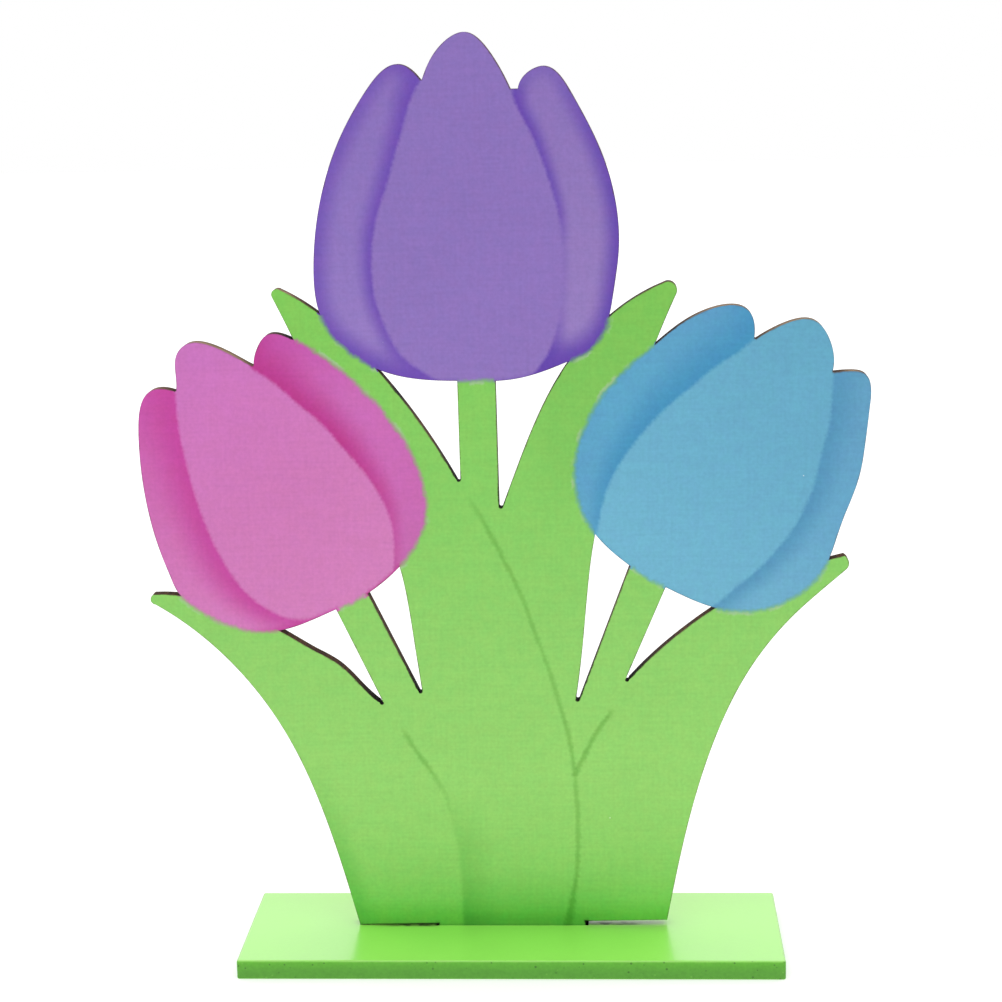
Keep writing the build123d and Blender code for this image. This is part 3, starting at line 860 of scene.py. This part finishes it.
def plateFinish():
    # Glossy paint: slow change of tone, mottled sides, thin paint on the eased edges, pinholes and knocks on
    # the sides, a brown slot and painted shadow beside it, each laid over by its share
    look = plateLook
    finish, shader = newFinish("greenGloss")
    where = addNode("TexCoord").outputs["Object"]
    x, y, z = addNode("SeparateXYZ", {}, {0: where}).outputs
    wall = readValue("wallShare")
    tone = grain(where, look["toneScale"], 3.0)
    fleck = grain(where, look["fleckScale"])
    side = mixColour(soft(z, *look["sideHeight"]), look["sideGreen"], look["highSideGreen"])
    colour = mixColour(wall, look["topGreen"], side)
    mottle = calc("SUBTRACT", grain(where, look["mottleScale"]), 0.5)
    value = plus(times(tone, look["tone"]), times(fleck, look["fleck"]), look["darkest"],
                 times(mottle, wall, look["mottle"]))
    colour = addNode("HueSaturation", {}, {"Value": value, "Color": colour}).outputs[0]
    thin = soft(grain(where, look["thinScale"], 3.0), *look["thinFrom"], *look["thinForce"])
    colour = mixColour(times(readValue("lipShare"), thin), colour, look["thinGreen"])
    high = soft(z, *look["holeHeight"])
    colour, holes = sprinkle(where, colour, look, "holes", high, wall)
    # Knocks in clusters along the sides, dark and pale
    knocked = times(wall, soft(grain(where, look["knockScale"], 1.0), *look["knockFrom"]))
    for kind in ("dents", "scuffs"):
        colour = sprinkle(where, colour, look, kind, knocked)[0]
    colour = mixColour(readValue("slotShare"), colour, look["slotBrown"])
    # Painted shadow under the front of the foot, beside the slot; on the left it shows as a thin dark line
    # before the foot
    front = calc("SUBTRACT", y, soft(x, *look["footShadowLeft"], look["footShadowOut"], 0.0))
    patches = soft(grain(where, look["footShadowScale"], 3.0), *look["footShadowFrom"], *look["footShadowPatch"])
    footShadow = times(soft(front, 0.0, look["footShadowSoft"]), soft(y, *look["footShadowBack"], 1.0, 0.0),
                 soft(calc("ABSOLUTE", x), *look["footShadowAcross"], look["footShadowForce"], 0.0), patches)
    colour = mixColour(footShadow, colour, look["footShadowColour"])
    rough = plus(times(wall, look["wallRough"]), soft(tone, *look["roughFrom"], *look["rough"]))
    # The painted shadow also dulls the gloss and the coat there
    dull = addNode("Clamp", {}, {0: plus(wall, footShadow)}).outputs[0]
    shine, coat = (soft(dull, 0.0, 1.0, *look[k]) for k in ("shine", "coat"))
    dress(shader, look, colour, rough, shine, times(holes, -1.0))
    setInputs(shader, {"Coat Weight": coat, "Coat Roughness": look["coatRough"], "Coat IOR": look["coatIor"]})
    return finish


base.data.materials.append(plateFinish())
base.data.polygons.foreach_set("material_index", np.zeros(len(base.data.polygons), np.int32))
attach(base, "base")
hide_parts("base_plate")
print("base plate finished")


# Studio: pale floor, one wide soft light above, white surroundings and the camera

studio = dict(
    floorSize=8.0,
    floorGrey=0.88,
    floorGlow=0.27,  # glows a little, so it stays white beside the base
    floorRough=0.9,
    floorShine=0.1,
    lightSpread=100.0,  # degrees across
    lightStrength=0.5,
    surround=1.0,
    cameraPlace=(29.858, -593.808, 250.969),  # mm
    cameraLeft=2.986,  # degrees
    cameraDown=11.665,
    cameraRoll=-1.143,
    lens=80.12,
    sensor=36.0,
    nearest=0.01,  # metres, nothing nearer is drawn
)

half = studio["floorSize"] / 2
floorMesh = bpy.data.meshes.new("floor")
corners = [(-half, -half, 0), (half, -half, 0), (half, half, 0), (-half, half, 0)]
floorMesh.from_pydata(corners, [], [(0, 1, 2, 3)])
floor = bpy.data.objects.new("floor", floorMesh)
bpy.context.scene.collection.objects.link(floor)
finish, shader = newFinish("paleFloor")
setInputs(shader, {
    "Base Color": (studio["floorGrey"],) * 3 + (1.0,), "Roughness": studio["floorRough"],
    "Specular IOR Level": studio["floorShine"], "Emission Color": (1.0,) * 4,
    "Emission Strength": studio["floorGlow"]})
floorMesh.materials.append(finish)

lamp = bpy.data.lights.new("softLight", "SUN")
lamp.angle, lamp.energy = math.radians(studio["lightSpread"]), studio["lightStrength"]
light = bpy.data.objects.new("softLight", lamp)
bpy.context.scene.collection.objects.link(light)

world = bpy.data.worlds.new("surroundings")
world.use_nodes = True
setInputs(world.node_tree.nodes["Background"], {0: (1.0,) * 4, 1: studio["surround"]})
bpy.context.scene.world = world

# Camera axes: forward from turn and tilt, right level with the floor, both then rolled
turn, tilt, roll = (math.radians(studio[k]) for k in ("cameraLeft", "cameraDown", "cameraRoll"))
forward = np.array((-math.sin(turn) * math.cos(tilt), math.cos(turn) * math.cos(tilt), -math.sin(tilt)))
right = np.array((math.cos(turn), math.sin(turn), 0.0))
up = np.cross(right, forward)
right, up = math.cos(roll) * right + math.sin(roll) * up, math.cos(roll) * up - math.sin(roll) * right
lensData = bpy.data.cameras.new("camera")
lensData.lens, lensData.sensor_width, lensData.clip_start = (studio[k] for k in ("lens", "sensor", "nearest"))
camera = bpy.data.objects.new("camera", lensData)
axes = np.eye(4)
axes[:3] = np.stack((right, up, -forward, np.array(studio["cameraPlace"]) * mm), 1)
camera.matrix_world = Matrix(axes.tolist())
bpy.context.scene.collection.objects.link(camera)
bpy.context.scene.camera = camera
bpy.context.scene.view_settings.view_transform = "Standard"
print("studio set")
